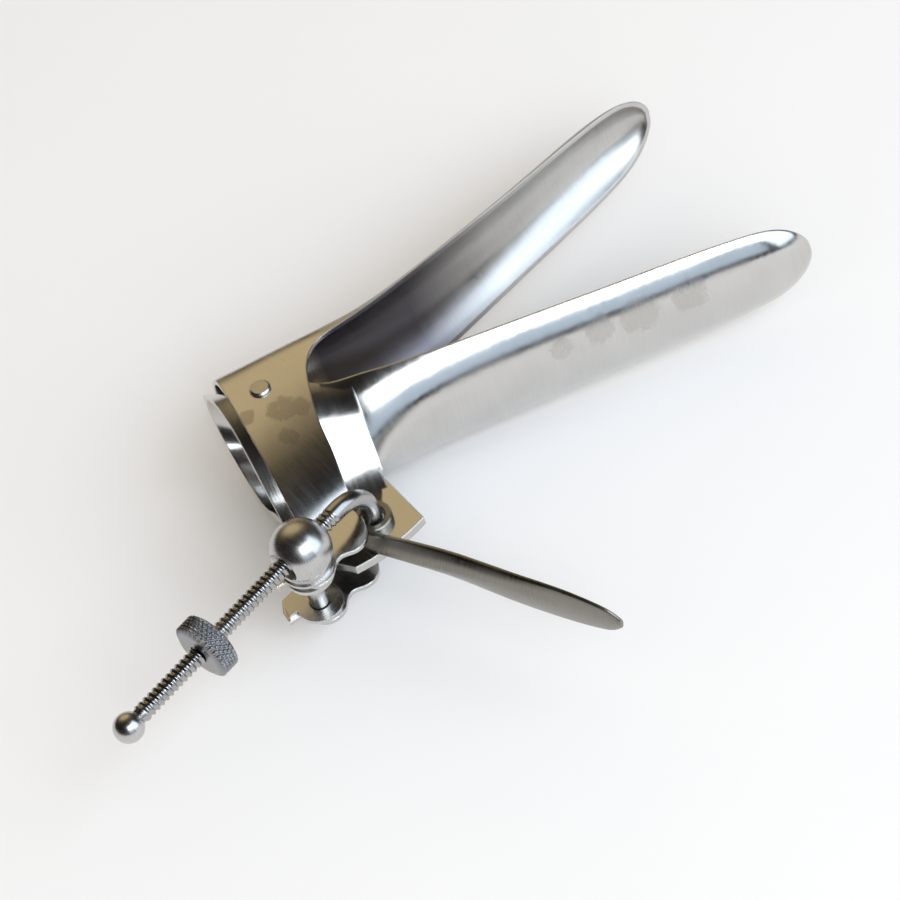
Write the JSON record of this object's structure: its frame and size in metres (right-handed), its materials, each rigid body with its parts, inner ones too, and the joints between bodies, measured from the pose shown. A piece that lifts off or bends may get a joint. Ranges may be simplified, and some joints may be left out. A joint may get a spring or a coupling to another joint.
{
  "type": "bivalve speculum",
  "caption": "Bivalve speculum of satin steel with two hinged trough blades, a thumb lever and a side screw with swivel ball and knurled nut.",
  "frame": {"origin": "on the hinge axis, at the flat outer face of the far hinge rivet, on which the instrument lies", "axes": "+Z along the hinge axis from the far rivet to the near one, +X along the upper blade from the hinge to its tip, +Y towards the side the upper blade bulges to"},
  "size_m": [0.1923, 0.1134, 0.0379],
  "materials": {
    "valve_steel": "satin, fine brush lines, faint water stains",
    "lever_steel": "satin",
    "rivet_steel": "satin",
    "screw_steel": "bright turned",
    "nut_steel": "turned, knurled rim"
  },
  "bodies": {
    "upper_blade": {"upper_valve": "valve_steel", "near_ear_cheek": "valve_steel", "far_ear_cheek": "valve_steel", "near_hinge_rivet": "rivet_steel", "far_hinge_rivet": "rivet_steel"},
    "lower_blade": {"lower_valve": "valve_steel", "thumb_lever": "lever_steel"},
    "screw_rod": {"tie_rod": "screw_steel", "end_ball": "screw_steel"},
    "screw_nut": {"thumb_nut": "nut_steel"},
    "rod_swivel": {"swivel_ball": "screw_steel", "stem_washer": "rivet_steel"}
  },
  "joints": [
    {"name": "blade_hinge", "type": "hinge", "parent": "upper_blade", "child": "lower_blade", "pos_m": [0, 0, 0.0177], "axis": [0, 0, 1], "range_deg": [-1.5, 26]},
    {"name": "hook_pivot", "type": "hinge", "parent": "lower_blade", "child": "screw_rod", "pos_m": [-0.002, -0.0334, 0.0177], "axis": [0, 0, 1], "range_deg": [-25.31, 1.53]},
    {"name": "ball_swivel", "type": "hinge", "parent": "upper_blade", "child": "rod_swivel", "pos_m": [-0.0212, -0.0358, 0.0177], "axis": [0, 0, 1], "range_deg": [-0.11, 1.21]},
    {"name": "nut_travel", "type": "slide", "parent": "screw_rod", "child": "screw_nut", "axis": [-0.9939, -0.1102, 0], "range_m": [-0.0046, 0.0165]}
  ],
  "couplings": [
    {"joint": "hook_pivot", "follows": "blade_hinge", "ratio": -0.955},
    {"joint": "ball_swivel", "follows": "blade_hinge", "ratio": 0.045}
  ]
}
